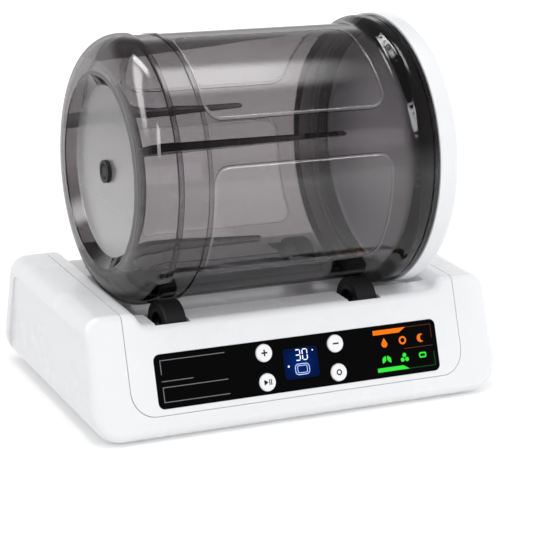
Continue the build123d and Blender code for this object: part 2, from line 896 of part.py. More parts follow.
# Drum: one clear moulding with a welled end, roller track, tapered ribs and a flared mouth
with BuildPart() as panel_reliefs:
    for step in range(rib_count):
        facing = rib_angle + (step + 0.5) * 360 / rib_count
        outward = (0, -cos(radians(facing)), sin(radians(facing)))
        relief_plane = Plane(
            origin=((panel_left + panel_right) / 2, 0, drum_axis_z), x_dir=(1, 0, 0), z_dir=outward
        )
        relief_height = 2 * drum_inner_r * sin(radians(panel_half_angle))
        with BuildSketch(relief_plane):
            RectangleRounded(panel_right - panel_left, relief_height, panel_corner_r)
        extrude(amount=drum_r)
    with BuildSketch(Plane.YZ.offset(panel_left)):
        with Locations((0, drum_axis_z)):
            Circle(drum_inner_r + panel_relief)
            Circle(drum_inner_r - panel_relief, mode=Mode.SUBTRACT)
    extrude(amount=panel_right - panel_left, mode=Mode.INTERSECT)

with BuildPart() as ribs:
    for step in range(rib_count):
        add(tapered_rib(rib_angle + step * 360 / rib_count))
    with BuildSketch(drum_section):
        with BuildLine():
            RadiusArc(
                (rib_left, ridge_r - end_r),
                (end_arc_x, ridge_r - end_r + end_middle_r),
                end_middle_r,
            )
            Polyline(
                (end_arc_x, ridge_r - end_r + end_middle_r),
                (flare_start, ridge_r - end_r + end_middle_r),
                (flare_start, 0),
                (rib_left, 0),
                (rib_left, ridge_r - end_r),
            )
        make_face()
    revolve(axis=drum_axis, mode=Mode.INTERSECT)

with BuildPart() as drum_shell:
    with BuildSketch(drum_section):
        with BuildLine():
            Polyline(
                (well_floor_x + drum_wall, valve_hole_r),
                (well_floor_x, valve_hole_r),
                (well_floor_x, well_floor_r),
                (drum_left, well_mouth_r),
                (drum_left, ridge_r - end_r),
            )
            RadiusArc((drum_left, ridge_r - end_r), (end_arc_x, ridge_r), end_r)
            Polyline(
                (end_arc_x, ridge_r),
                (ridge_end_x, ridge_r),
                (ridge_end_x, drum_r),
                (track_ridge_x - track_ridge_width / 2, drum_r),
                (track_ridge_x - track_ridge_width / 2, drum_r + track_ridge_height),
                (track_ridge_x + track_ridge_width / 2, drum_r + track_ridge_height),
                (track_ridge_x + track_ridge_width / 2, drum_r),
                (flare_start, drum_r),
            )
            Spline(
                (flare_start, drum_r),
                (flare_end, flange_r),
                tangents=[(1, 0), (1, 0)],
            )
            Polyline(
                (flare_end, flange_r),
                (flange_groove_x, flange_r),
                (flange_groove_x, flange_r - flange_groove_depth),
                (flange_groove_x + flange_groove_width, flange_r - flange_groove_depth),
                (flange_groove_x + flange_groove_width, flange_r),
                (lid_seat_x, flange_r),
                (lid_seat_x, neck_r),
                (neck_end, neck_r),
                (neck_end, neck_inner_r),
                (lid_seat_x - neck_wall, neck_inner_r),
                (flare_start + flare_length / 2, drum_inner_r),
                (end_arc_x, drum_inner_r),
                (end_arc_x, ridge_inner_r),
            )
            RadiusArc(
                (end_arc_x, ridge_inner_r),
                (end_arc_x - end_inner_r, ridge_inner_r - end_inner_r),
                -end_inner_r,
            )
            Polyline(
                (end_arc_x - end_inner_r, ridge_inner_r - end_inner_r),
                (drum_left + drum_wall, well_mouth_r + drum_wall),
                (well_floor_x + drum_wall, well_floor_r + drum_wall),
                (well_floor_x + drum_wall, valve_hole_r),
            )
        make_face()
    revolve(axis=drum_axis)
    add(panel_reliefs.part, mode=Mode.SUBTRACT)
    add(ribs.part)
    add(ring_sector(lug_x, lug_width, neck_r - neck_wall / 2, neck_r + lug_height, lug_angle, lug_count))

# Lid with its bayonet tabs, hand grip and seal
with BuildPart() as lid:
    with BuildSketch(drum_section):
        with BuildLine():
            Polyline(
                (lid_right, 0),
                (lid_right, lid_r),
                (lid_left, lid_r),
                (lid_left, skirt_r),
                (lid_inner_x, skirt_r),
                (lid_inner_x, 0),
                close=True,
            )
        make_face()
    revolve(axis=drum_axis)
    fillet(lid.edges().filter_by(GeomType.CIRCLE).sort_by(Axis.X)[-1], lid_edge_r)
    with BuildSketch(Plane.YZ.offset(lid_right)):
        with Locations((0, drum_axis_z)):
            Circle(grip_recess_r)
            Rectangle(grip_bar_width, 2 * grip_recess_r, mode=Mode.SUBTRACT)
    extrude(amount=-grip_recess_depth, mode=Mode.SUBTRACT)
    tab_outer_r = skirt_r + skirt_wall / 2
    add(ring_sector(tab_x, tab_width, neck_r + bayonet_gap, tab_outer_r, lug_angle, lug_count))

with BuildPart() as lid_seal:
    with BuildSketch(Plane.YZ.offset(neck_end)):
        with Locations((0, drum_axis_z)):
            Circle(neck_r)
            Circle(neck_inner_r, mode=Mode.SUBTRACT)
    extrude(amount=lid_inner_x - neck_end)

# Rubber valve in the middle of the well, and the plug that lets air back in
with BuildPart() as valve_body:
    with BuildSketch(drum_section):
        with BuildLine():
            Polyline(
                (well_floor_x - valve_flange, valve_dish_r),
                (well_floor_x - valve_flange, valve_r),
                (well_floor_x, valve_r),
                (well_floor_x, valve_hole_r - fit_gap),
                (well_floor_x + drum_wall, valve_hole_r - fit_gap),
                (well_floor_x + drum_wall, valve_inner_r),
                (valve_inside_x, valve_inner_r),
                (valve_inside_x, valve_bore_r),
                (well_floor_x - valve_flange + valve_dish_depth, valve_bore_r),
                (well_floor_x - valve_flange + valve_dish_depth, valve_seat_r),
                close=True,
            )
        make_face()
    revolve(axis=drum_axis)

with BuildPart() as valve_plug:
    with BuildSketch(drum_section):
        with BuildLine():
            Polyline(
                (plug_left, 0),
                (plug_left, plug_head_r),
                (plug_left + plug_head_length, plug_head_r),
                (plug_left + plug_head_length, plug_r),
                (plug_stop_x, plug_r),
                (plug_stop_x, plug_stop_r),
                (plug_stop_x + plug_stop_length, plug_stop_r),
                (plug_stop_x + plug_stop_length, 0),
                close=True,
            )
        make_face()
    revolve(axis=drum_axis)

pieces = {
    "lower_housing": lower_housing.part,
    "top_cover": top_cover.part,
    "bottom_plate": bottom_plate.part,
    "rubber_feet": rubber_feet.part,
    "case_screws": case_screws.part,
    "control_panel": control_panel.part,
    "display_window": display_window.part,
    "display_module": display_module.part,
    "control_board": control_board.part,
    "board_screws": board_screws.part,
    "tact_switches": tact_switches.part,
    **buttons,
    "power_inlet": power_inlet.part,
    "left_bearing_plate": left_plate,
    "right_bearing_plate": right_plate,
    "shaft_bushes": shaft_bushes.part,
    "drive_shaft": drive_shaft,
    "drive_hubs": drive_hubs,
    "drive_tyres": drive_tyres,
    "drive_clips": drive_clips,
    "shaft_pulley": shaft_pulley,
    "idler_shaft": idler_shaft,
    "idler_hubs": idler_hubs,
    "idler_tyres": idler_tyres,
    "idler_clips": idler_clips,
    "drive_belt": drive_belt.part,
    "motor_pulley": motor_pulley,
    "output_shaft": output_shaft.part,
    "gearbox": gearbox.part,
    "drive_motor": drive_motor.part,
    "motor_screws": motor_screws.part,
    "drum_shell": drum_shell.part,
    "lid": lid.part,
    "lid_seal": lid_seal.part,
    "valve_body": valve_body.part,
    "valve_plug": valve_plug.part,
}
os.makedirs("parts", exist_ok=True)
for piece_name, piece in pieces.items():
    piece.label = piece_name
    export_step(piece, f"parts/{piece_name}.step")
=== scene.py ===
"""Finish, light and camera for a table-top meat tumbler: a smoke-clear drum in a white cradle base.

Sizes of the object are written in millimetres and become metres through MM. Floor and lamps are in
metres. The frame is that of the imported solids: X along the drum towards its lid, Y to the back, Z up,
with the feet on Z = 0.
"""
from math import cos, pi, radians, sin

import bmesh
import bpy
from mathutils import Matrix, Vector


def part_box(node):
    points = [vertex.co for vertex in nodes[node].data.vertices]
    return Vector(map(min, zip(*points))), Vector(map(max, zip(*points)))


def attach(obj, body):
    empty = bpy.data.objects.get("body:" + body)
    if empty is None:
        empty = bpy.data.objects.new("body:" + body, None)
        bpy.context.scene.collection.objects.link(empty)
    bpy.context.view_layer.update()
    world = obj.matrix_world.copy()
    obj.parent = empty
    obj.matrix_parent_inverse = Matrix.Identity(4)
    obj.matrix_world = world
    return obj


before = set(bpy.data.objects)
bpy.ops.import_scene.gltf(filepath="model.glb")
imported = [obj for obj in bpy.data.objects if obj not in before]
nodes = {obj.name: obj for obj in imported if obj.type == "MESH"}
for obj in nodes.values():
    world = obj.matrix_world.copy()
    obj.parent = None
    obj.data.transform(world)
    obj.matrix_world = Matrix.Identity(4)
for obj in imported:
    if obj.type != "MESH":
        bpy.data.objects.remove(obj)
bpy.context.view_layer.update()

scene = bpy.context.scene
scene.view_settings.view_transform = "Standard"

MM = 0.001

# Camera, worked out for a square picture of this many pixels
picture_px = 533
sensor_mm = 36.0
focal_px = 1941.4
camera_yaw = radians(-26.23)
camera_pitch = radians(17.71)
camera_roll = radians(2.05)
camera_distance = 1570.3
camera_target = Vector((12.55, 0.0, 92.06))

# Sloping control panel
front_lean = radians(21.6)
base_half_depth = 109.5
panel_slope = 46.5
panel_proud = 0.2
button_spread = Vector((30.8, 11.3))
button_top = 1.5
print_lift = 0.02
print_thickness = 0.04

# Drum
drum_axis_z = 183.4
drum_r = 102.3
well_floor_x = -125.5
well_floor_r = 66.0

# Panes between the drum's ribs, each edged with a low bead
pane_count = 5
first_rib_facing = radians(23.6)
pane_left = -81.0
pane_right = 67.0
pane_height = 88.6
pane_corner_r = 12.0
bead_width = 2.0
bead_height = 0.22


def add_node(tree, kind, inputs=None, **settings):
    """One shader node; an input is given as a plain value or as the socket that feeds it."""
    node = tree.nodes.new(kind)
    for key, value in settings.items():
        setattr(node, key, value)
    for key, value in (inputs or {}).items():
        if isinstance(value, bpy.types.NodeSocket):
            tree.links.new(value, node.inputs[key])
        else:
            node.inputs[key].default_value = value
    return node


def calc(tree, operation, a, b=0.0, clamp=False):
    """Output of one math node."""
    return add_node(tree, "ShaderNodeMath", {0: a, 1: b}, operation=operation, use_clamp=clamp).outputs[0]


def ramp(tree, value, start, stop, low=0.0, high=1.0):
    """Output that eases from low to high while a value goes from start to stop."""
    inputs = {"Value": value, "From Min": start, "From Max": stop, "To Min": low, "To Max": high}
    return add_node(tree, "ShaderNodeMapRange", inputs, interpolation_type="SMOOTHSTEP").outputs[0]


def patches(tree, size_mm, detail):
    """Noise between 0 and 1, in patches of about the given size."""
    place = add_node(tree, "ShaderNodeTexCoord").outputs["Object"]
    scale = calc(tree, "DIVIDE", 1 / MM, size_mm)
    inputs = {"Vector": place, "Scale": scale, "Detail": detail}
    return add_node(tree, "ShaderNodeTexNoise", inputs).outputs[0]


def dimmed(tree, colour, level):
    """Colour multiplied by a level."""
    shade = add_node(tree, "ShaderNodeCombineColor", {0: level, 1: level, 2: level}).outputs[0]
    inputs = {"Factor": 1.0, "A": colour, "B": shade}
    mix = add_node(tree, "ShaderNodeMix", inputs, data_type="RGBA", blend_type="MULTIPLY")
    return mix.outputs["Result"]


def new_group(name, inputs, outputs):
    """Shader node group with its named sockets, and the nodes where they enter and leave."""
    group = bpy.data.node_groups.new(name, "ShaderNodeTree")
    for label, kind, value in inputs:
        socket = group.interface.new_socket(label, in_out="INPUT", socket_type=kind)
        socket.default_value = value
    for label, kind in outputs:
        group.interface.new_socket(label, in_out="OUTPUT", socket_type=kind)
    given = group.nodes.new("NodeGroupInput").outputs
    leave = group.nodes.new("NodeGroupOutput").inputs
    return group, given, leave


NUMBER = "NodeSocketFloat"
COLOUR = "NodeSocketColor"


def moulded_skin_group():
    """Uneven gloss and fine texture that a mould leaves on plastic and rubber."""
    inputs = [
        ("Roughness", NUMBER, 0.3),
        ("Spread", NUMBER, 0.1),
        ("Grain mm", NUMBER, 0.5),
        ("Sink mm", NUMBER, 45.0),
    ]
    outputs = [("Roughness", NUMBER), ("Height", NUMBER)]
    group, given, leave = new_group("moulded_skin", inputs, outputs)
    grain_share = 0.35
    grain = calc(group, "MULTIPLY", patches(group, given["Grain mm"], 2.0), grain_share)
    sink = calc(group, "MULTIPLY", patches(group, given["Sink mm"], 3.0), 1 - grain_share)
    height = calc(group, "ADD", grain, sink)
    swing = calc(group, "MULTIPLY", calc(group, "SUBTRACT", height, 0.5), given["Spread"])
    group.links.new(calc(group, "ADD", given["Roughness"], swing, clamp=True), leave["Roughness"])
    group.links.new(height, leave["Height"])
    return group


def mottle_group():
    """Slight unevenness of colour through a moulding."""
    inputs = [
        ("Color", COLOUR, (1, 1, 1, 1)),
        ("Depth", NUMBER, 0.05),
        ("Patch mm", NUMBER, 30.0),
    ]
    group, given, leave = new_group("mottle", inputs, [("Color", COLOUR)])
    noise = patches(group, given["Patch mm"], 4.0)
    swing = calc(group, "MULTIPLY", calc(group, "SUBTRACT", noise, 0.5), given["Depth"])
    level = calc(group, "ADD", 1.0, swing)
    group.links.new(dimmed(group, given["Color"], level), leave["Color"])
    return group


moulded_skin = moulded_skin_group()
mottle = mottle_group()


def new_material(name):
    """Empty node material with its Principled shader."""
    material = bpy.data.materials.new(name)
    material.use_nodes = True
    return material, material.node_tree, material.node_tree.nodes["Principled BSDF"]


def place_group(tree, group, inputs):
    """A shared group placed in a material with its own values."""
    node = tree.nodes.new("ShaderNodeGroup")
    node.node_tree = group
    for key, value in inputs.items():
        node.inputs[key].default_value = value
    return node


def moulded(name, colour, roughness, spread, grain, bump, depth, **constants):
    """Moulded plastic, rubber or plated metal; constants are set on the shader's own sockets.

    Spread is how far the roughness varies, depth how far the colour does. Grain and bump are the
    texture's size and height in millimetres.
    """
    material, tree, shader = new_material(name)
    skin = place_group(tree, moulded_skin, {"Roughness": roughness, "Spread": spread, "Grain mm": grain})
    tone = place_group(tree, mottle, {"Color": (*colour, 1.0), "Depth": depth})
    height = {"Strength": 1.0, "Distance": bump * MM, "Height": skin.outputs["Height"]}
    relief = add_node(tree, "ShaderNodeBump", height)
    tree.links.new(tone.outputs["Color"], shader.inputs["Base Color"])
    tree.links.new(skin.outputs["Roughness"], shader.inputs["Roughness"])
    tree.links.new(relief.outputs["Normal"], shader.inputs["Normal"])
    for socket, value in constants.items():
        shader.inputs[socket.replace("_", " ")].default_value = value
    return material


white_case = moulded(
    "white_case", (0.88, 0.885, 0.905),
    roughness=0.27, spread=0.05, grain=0.6, bump=0.002, depth=0.015, Coat_Weight=0.15,
)
white_lid = moulded(
    "white_lid", (0.83, 0.835, 0.855),
    roughness=0.24, spread=0.05, grain=0.6, bump=0.002, depth=0.015, Coat_Weight=0.2,
)
black_gloss = moulded(
    "black_panel", (0.002, 0.002, 0.0022),
    roughness=0.20, spread=0.08, grain=0.3, bump=0.002, depth=0.3, Specular_IOR_Level=0.05,
)
black_rubber = moulded(
    "black_rubber", (0.010, 0.010, 0.011),
    roughness=0.62, spread=0.25, grain=0.25, bump=0.03, depth=0.5,
)
silver_cap = moulded(
    "button_silver", (0.93, 0.935, 0.95),
    roughness=0.34, spread=0.08, grain=0.15, bump=0.003, depth=0.05, Coat_Weight=0.2,
)
black_plastic = moulded(
    "hub_black", (0.012, 0.012, 0.013),
    roughness=0.42, spread=0.2, grain=0.4, bump=0.02, depth=0.3,
)
grey_plastic = moulded(
    "grey_plastic", (0.10, 0.105, 0.115),
    roughness=0.45, spread=0.2, grain=0.4, bump=0.02, depth=0.2,
)
silicone = moulded(
    "seal_silicone", (0.60, 0.60, 0.61),
    roughness=0.5, spread=0.15, grain=0.4, bump=0.01, depth=0.1,
)
board_green = moulded(
    "board", (0.01, 0.06, 0.025),
    roughness=0.4, spread=0.2, grain=0.4, bump=0.01, depth=0.4,
)
steel = moulded(
    "steel", (0.55, 0.55, 0.57),
    roughness=0.28, spread=0.2, grain=0.12, bump=0.005, depth=0.15, Metallic=1.0,
)
zinc = moulded(
    "zinc_plate", (0.50, 0.51, 0.53),
    roughness=0.42, spread=0.25, grain=0.8, bump=0.005, depth=0.3, Metallic=1.0,
)
motor_can = moulded(
    "motor_metal", (0.42, 0.43, 0.45),
    roughness=0.35, spread=0.2, grain=0.3, bump=0.005, depth=0.2, Metallic=1.0,
)
bronze = moulded(
    "bush_brass", (0.55, 0.36, 0.13),
    roughness=0.45, spread=0.3, grain=0.2, bump=0.01, depth=0.3, Metallic=1.0,
)


def smoke_clear_finish():
    """See-through smoke grey plastic, frosted in the well, with painted shade along its outline where the
    eye grazes its wall.
    """
    material, tree, shader = new_material("smoke_clear")
    shader.inputs["IOR"].default_value = 1.5
    gloss = {"Roughness": 0.015, "Spread": 0.02, "Grain mm": 1.2, "Sink mm": 60.0}
    skin = place_group(tree, moulded_skin, gloss)

    # Mask of the well's floor, on its outer face only
    shell = nodes["drum_shell"].matrix_world.translation
    place = add_node(tree, "ShaderNodeTexCoord").outputs["Object"]
    along, across, up = add_node(tree, "ShaderNodeSeparateXYZ", {0: place}).outputs
    across = calc(tree, "ADD", across, shell.y)
    up = calc(tree, "ADD", up, shell.z - drum_axis_z * MM)
    squares = calc(tree, "ADD", calc(tree, "POWER", across, 2.0), calc(tree, "POWER", up, 2.0))
    out = calc(tree, "SQRT", squares)
    inside = ramp(tree, out, well_floor_r * MM, (well_floor_r + 1.0) * MM, 1.0, 0.0)
    floor_x = well_floor_x * MM - shell.x
    outer = ramp(tree, along, floor_x + 0.5 * MM, floor_x + 1.0 * MM, 1.0, 0.0)
    frosted = calc(tree, "MULTIPLY", inside, outer)

    frost_roughness = 0.22
    frost = calc(tree, "MULTIPLY", frosted, frost_roughness)
    tree.links.new(calc(tree, "ADD", skin.outputs["Roughness"], frost), shader.inputs["Roughness"])

    # The frost is milkier low in the well: painted light that whitens the well's lower part
    painted_light_milk_low, milk_high = 0.36, 0.08
    painted_light_milk_level = ramp(tree, up, -well_floor_r * MM, well_floor_r * MM, painted_light_milk_low, milk_high)
    milk = calc(tree, "MULTIPLY", frosted, painted_light_milk_level)
    # Painted shade: the wall turns dark and loses its gloss where it is seen edge-on
    grazing = add_node(tree, "ShaderNodeLayerWeight", {"Blend": 0.5}).outputs["Facing"]
    painted_rim_start, painted_rim_full, painted_rim_depth = 0.70, 0.88, 0.97
    clear = calc(tree, "SUBTRACT", 1.0, ramp(tree, grazing, painted_rim_start, painted_rim_full, 0.0, painted_rim_depth))
    tree.links.new(calc(tree, "SUBTRACT", clear, milk, clamp=True), shader.inputs["Transmission Weight"])
    tree.links.new(calc(tree, "MULTIPLY", clear, 0.5), shader.inputs["Specular IOR Level"])
    tree.links.new(calc(tree, "POWER", clear, 4.0), shader.inputs["Base Color"])

    tint = {"Color": (0.05, 0.0, 0.025, 1.0), "Density": 300.0}
    smoke = add_node(tree, "ShaderNodeVolumeAbsorption", tint)
    tree.links.new(smoke.outputs[0], tree.nodes["Material Output"].inputs["Volume"])
    return material


def display_finish():
    """Lit blue display: brighter in the middle than at its edges."""
    material, tree, shader = new_material("blue_display")
    shader.inputs["Base Color"].default_value = (0.0, 0.002, 0.015, 1.0)
    shader.inputs["Specular IOR Level"].default_value = 0.1
    glow = (0.0, 0.017, 0.15, 1.0)
    tone = place_group(tree, mottle, {"Color": glow, "Depth": 0.3, "Patch mm": 9.0})
    low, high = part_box("display_window")
    middle = (Vector(low) + Vector(high)) / 2
    place = add_node(tree, "ShaderNodeTexCoord").outputs["Object"]
    spots = {0: place, 1: middle}
    away = add_node(tree, "ShaderNodeVectorMath", spots, operation="DISTANCE").outputs["Value"]
    glow_reach = 16.0
    edge_level = 0.28
    level = ramp(tree, away, 0.0, glow_reach * MM, 1.0, edge_level)
    tree.links.new(dimmed(tree, tone.outputs["Color"], level), shader.inputs["Emission Color"])
    shader.inputs["Emission Strength"].default_value = 1.0
    skin = place_group(tree, moulded_skin, {"Roughness": 0.12, "Spread": 0.06, "Grain mm": 0.3})
    tree.links.new(skin.outputs["Roughness"], shader.inputs["Roughness"])
    return material


def printed_ink(name, colour, glow=0.0):
    """Thin printed or lit mark; glow is how much light it gives off by itself."""
    material, tree, shader = new_material(name)
    tone = place_group(tree, mottle, {"Color": (*colour, 1.0), "Depth": 0.12, "Patch mm": 2.0})
    tree.links.new(tone.outputs["Color"], shader.inputs["Base Color"])
    skin = place_group(tree, moulded_skin, {"Roughness": 0.4, "Spread": 0.15, "Grain mm": 0.2})
    tree.links.new(skin.outputs["Roughness"], shader.inputs["Roughness"])
    shader.inputs["Specular IOR Level"].default_value = 0.1
    if glow:
        tree.links.new(tone.outputs["Color"], shader.inputs["Emission Color"])
        shader.inputs["Emission Strength"].default_value = glow
    return material


smoke_clear = smoke_clear_finish()
blue_display = display_finish()
grey_ink = printed_ink("grey_ink", (0.22, 0.22, 0.23))
# The orange and green inks glow a little: painted light on printed marks
orange_ink_painted_glow = printed_ink("orange_ink_painted_glow", (0.94, 0.168, 0.002), 0.2)
green_ink_painted_glow = printed_ink("green_ink_painted_glow", (0.03, 0.70, 0.035), 0.2)
dim_orange_ink = printed_ink("dim_orange_ink", (0.12, 0.03, 0.008))
dim_green_ink = printed_ink("dim_green_ink", (0.012, 0.10, 0.02))
symbol_ink = printed_ink("symbol_ink", (0.008, 0.008, 0.010))
segment_light = printed_ink("segment_light", (0.80, 0.86, 1.0), 0.6)
frame_light = printed_ink("frame_light", (0.45, 0.58, 0.95), 0.35)

finishes = {
    white_case: ["lower_housing", "top_cover"],
    white_lid: ["lid"],
    black_gloss: ["control_panel"],
    blue_display: ["display_window"],
    silver_cap: ["button_plus", "button_minus", "button_start", "button_stop"],
    black_plastic: ["drive_hubs", "idler_hubs"],
    black_rubber: ["rubber_feet", "drive_tyres", "idler_tyres", "drive_belt", "valve_body", "valve_plug"],
    grey_plastic: [
        "bottom_plate", "display_module", "tact_switches", "power_inlet", "shaft_pulley", "motor_pulley",
    ],
    silicone: ["lid_seal"],
    board_green: ["control_board"],
    steel: [
        "case_screws", "board_screws", "drive_shaft", "idler_shaft", "drive_clips", "idler_clips",
        "output_shaft", "motor_screws",
    ],
    zinc: ["left_bearing_plate", "right_bearing_plate"],
    motor_can: ["gearbox", "drive_motor"],
    bronze: ["shaft_bushes"],
    smoke_clear: ["drum_shell"],
}
for material, names in finishes.items():
    for name in names:
        nodes[name].data.materials.clear()
        nodes[name].data.materials.append(material)

# Where the panel's surface lies: X across, Y up the slope, Z out of it
panel_up = Vector((0, sin(front_lean), cos(front_lean)))
panel_out = Vector((0, -cos(front_lean), sin(front_lean)))
panel_centre = Vector((0, -base_half_depth, 0)) + panel_up * panel_slope + panel_out * panel_proud
panel_turn = Matrix(((1, 0, 0), panel_up, panel_out)).transposed().to_4x4()
panel_place = Matrix.Translation(panel_centre) @ panel_turn


def bent_stroke(spots, width):
    """Outline of a line through square bends, running up one side of it and back down the other."""
    spots = [Vector(spot) for spot in spots]
    ways = [(b - a).normalized() for a, b in zip(spots, spots[1:])]
    left, right = [], []
    for spot, before, after in zip(spots, ways[:1] + ways, ways + ways[-1:]):
        across = Vector((-before.y - after.y, before.x + after.x))
        across *= width / (1 + before.dot(after)) / 2
        left.append(spot + across)
        right.append(spot - across)
    return left + right[::-1]


def arc_points(x, y, r, start=0.0, stop=360.0, count=32):
    """Points along an arc, its angles in degrees; a full circle does not repeat its first point."""
    points = count if stop - start == 360 else count + 1
    angles = [radians(start + (stop - start) * i / count) for i in range(points)]
    return [Vector((x + r * cos(a), y + r * sin(a))) for a in angles]


def rounded_box(x, y, width, height, r):
    """Outline of a box with round corners."""
    half_w, half_h = width / 2 - r, height / 2 - r
    points = []
    for turn, (sx, sy) in enumerate(((1, 1), (-1, 1), (-1, -1), (1, -1))):
        points += arc_points(x + sx * half_w, y + sy * half_h, r, 90 * turn, 90 * turn + 90, 6)
    return points


def filled_shape(outlines):
    """Thin flat mesh from closed outlines; an outline inside another is a hole."""
    curve = bpy.data.curves.new("shape", "CURVE")
    curve.dimensions = "2D"
    curve.fill_mode = "BOTH"
    curve.extrude = print_thickness / 2
    for outline in outlines:
        spline = curve.splines.new("POLY")
        spline.points.add(len(outline) - 1)
        for point, spot in zip(spline.points, outline):
            point.co = (spot[0], spot[1], 0, 1)
        spline.use_cyclic_u = True
    sketch = bpy.data.objects.new("shape", curve)
    scene.collection.objects.link(sketch)
    bpy.context.view_layer.update()
    filled = sketch.evaluated_get(bpy.context.evaluated_depsgraph_get())
    mesh = bpy.data.meshes.new_from_object(filled)
    bpy.data.objects.remove(sketch)
    bpy.data.curves.remove(curve)
    return mesh


def printed(name, shapes, ink, body, lift=print_lift):
    """Thin marks on the panel's surface; each shape is a list of closed outlines."""
    joined = bmesh.new()
    for outlines in shapes:
        flat = filled_shape(outlines)
        joined.from_mesh(flat)
        bpy.data.meshes.remove(flat)
    bmesh.ops.remove_doubles(joined, verts=joined.verts, dist=print_thickness / 10)
    mesh = bpy.data.meshes.new(name)
    joined.to_mesh(mesh)
    joined.free()
    raised = Matrix.Translation((0, 0, lift + print_thickness / 2))
    mesh.transform(Matrix.Scale(MM, 4) @ panel_place @ raised)
    mesh.materials.append(ink)
    piece = bpy.data.objects.new(name, mesh)
    scene.collection.objects.link(piece)
    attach(piece, body)


# Lines at the panel's left, and the coloured tabs with their frames at its right
line_width = 0.55
frame_width = 0.45
printed("panel_lines", [
    [bent_stroke([(-116.4, 5.1), (-116.4, 15.8), (-63.3, 15.8)], line_width)],
    [bent_stroke([(-116.9, 0.0), (-91.0, 0.0)], line_width)],
    [bent_stroke([(-62.8, -4.6), (-116.4, -4.6), (-116.4, -15.7), (-62.6, -15.7)], line_width)],
], grey_ink, "base")
printed("warm_tab", [
    [[(64.9, 13.3), (88.0, 13.3), (94.3, 17.0), (64.9, 17.0)]],
], orange_ink_painted_glow, "base")
printed("cool_tab", [
    [[(65.4, -16.2), (94.0, -16.2), (88.6, -12.9), (65.4, -12.9)]],
], green_ink_painted_glow, "base")
printed("warm_frame", [
    [bent_stroke([(94.6, 16.8), (117.0, 16.8), (117.0, 6.0)], frame_width)],
    [bent_stroke([(91.0, 0.0), (117.0, 0.0)], frame_width)],
], dim_orange_ink, "base")
printed("cool_frame", [
    [bent_stroke([(94.3, -16.0), (117.5, -16.0), (117.5, -5.0)], frame_width)],
], dim_green_ink, "base")


def drop(x, y, r):
    """Water drop: a round belly with a point at the top."""
    return arc_points(x, y - r * 0.35, r, 150, 390, 24) + [Vector((x, y + r * 1.6))]


def leaf(x, y, length, width, tilt):
    """Leaf: two arcs that meet in points."""
    steps = 12
    half = [Vector((length * (t / steps - 0.5), width / 2 * sin(pi * t / steps))) for t in range(steps + 1)]
    shape = half + [Vector((p.x, -p.y)) for p in half[-2:0:-1]]
    turn = Matrix.Rotation(tilt, 2)
    return [turn @ p + Vector((x, y)) for p in shape]


def crescent(x, y, r):
    """Moon shape: a disc with a smaller one bitten out."""
    outer = arc_points(x, y, r, 50, 310, 24)
    inner = arc_points(x + r * 0.62, y, r * 0.77, 274, 86, 20)
    return outer + inner


printed("warm_marks", [
    [drop(74.0, 6.4, 2.6)],
    [arc_points(90.5, 6.8, 3.3), arc_points(90.5, 6.8, 1.9)],
    [crescent(107.0, 6.8, 3.4)],
], orange_ink_painted_glow, "base")
printed("cool_marks", [
    [leaf(72.2, -6.6, 6.6, 3.4, radians(62))],
    [leaf(76.6, -6.6, 6.6, 3.4, radians(118))],
    [arc_points(90.5, -5.0, 1.7)],
    [arc_points(88.5, -8.5, 1.7)],
    [arc_points(92.5, -8.5, 1.7)],
    [rounded_box(107.0, -6.8, 6.6, 4.4, 1.4), rounded_box(107.0, -6.8, 4.2, 2.0, 0.6)],
], green_ink_painted_glow, "base")

# Symbols on the buttons
symbol_lift = button_top - panel_proud + print_lift
symbol_half = 2.5
symbol_width = 1.2
arm = symbol_width / (2 * symbol_half)
plus_corners = (
    (-1, -arm), (-arm, -arm), (-arm, -1), (arm, -1), (arm, -arm), (1, -arm),
    (1, arm), (arm, arm), (arm, 1), (-arm, 1), (-arm, arm), (-1, arm),
)
left_x, right_x = -button_spread.x, button_spread.x
top_y, low_y = button_spread.y, -button_spread.y
printed("plus_symbol", [
    [[(left_x + symbol_half * a, top_y + symbol_half * b) for a, b in plus_corners]],
], symbol_ink, "button_plus", symbol_lift)
printed("minus_symbol", [
    [bent_stroke([(right_x - symbol_half, top_y), (right_x + symbol_half, top_y)], symbol_width)],
], symbol_ink, "button_minus", symbol_lift)
printed("start_symbol", [
    [[(left_x - 3.1, low_y - 2.3), (left_x + 0.4, low_y), (left_x - 3.1, low_y + 2.3)]],
    [bent_stroke([(left_x + 1.4, low_y - 2.2), (left_x + 1.4, low_y + 2.2)], 0.8)],
    [bent_stroke([(left_x + 2.9, low_y - 2.2), (left_x + 2.9, low_y + 2.2)], 0.8)],
], symbol_ink, "button_start", symbol_lift)
printed("stop_symbol", [
    [arc_points(right_x, low_y, 2.4), arc_points(right_x, low_y, 1.4)],
], symbol_ink, "button_stop", symbol_lift)

# Figures in the display
digit_width, digit_height = 4.0, 8.2
segment_width, segment_gap = 0.75, 0.3
lit_segments = {"3": "abcdg", "0": "abcdef"}


def seven_segment(figure, x, y):
    """Outlines of one figure made of bars, with x and y at its middle."""
    w, h = digit_width / 2, digit_height / 2
    ends = {
        "a": (-w, h, w, h), "b": (w, h, w, 0), "c": (w, 0, w, -h), "d": (-w, -h, w, -h),
        "e": (-w, 0, -w, -h), "f": (-w, h, -w, 0), "g": (-w, 0, w, 0),
    }
    centre = Vector((x, y))
    bars = []
    for bar in lit_segments[figure]:
        a = Vector(ends[bar][:2])
        b = Vector(ends[bar][2:])
        along = (b - a).normalized()
        across = Vector((-along.y, along.x)) * segment_width / 2
        a, b = a + along * segment_gap, b - along * segment_gap
        tip = along * segment_width / 2
        corners = (a, a + tip - across, b - tip - across, b, b - tip + across, a + tip + across)
        bars.append([[centre + corner for corner in corners]])
    return bars


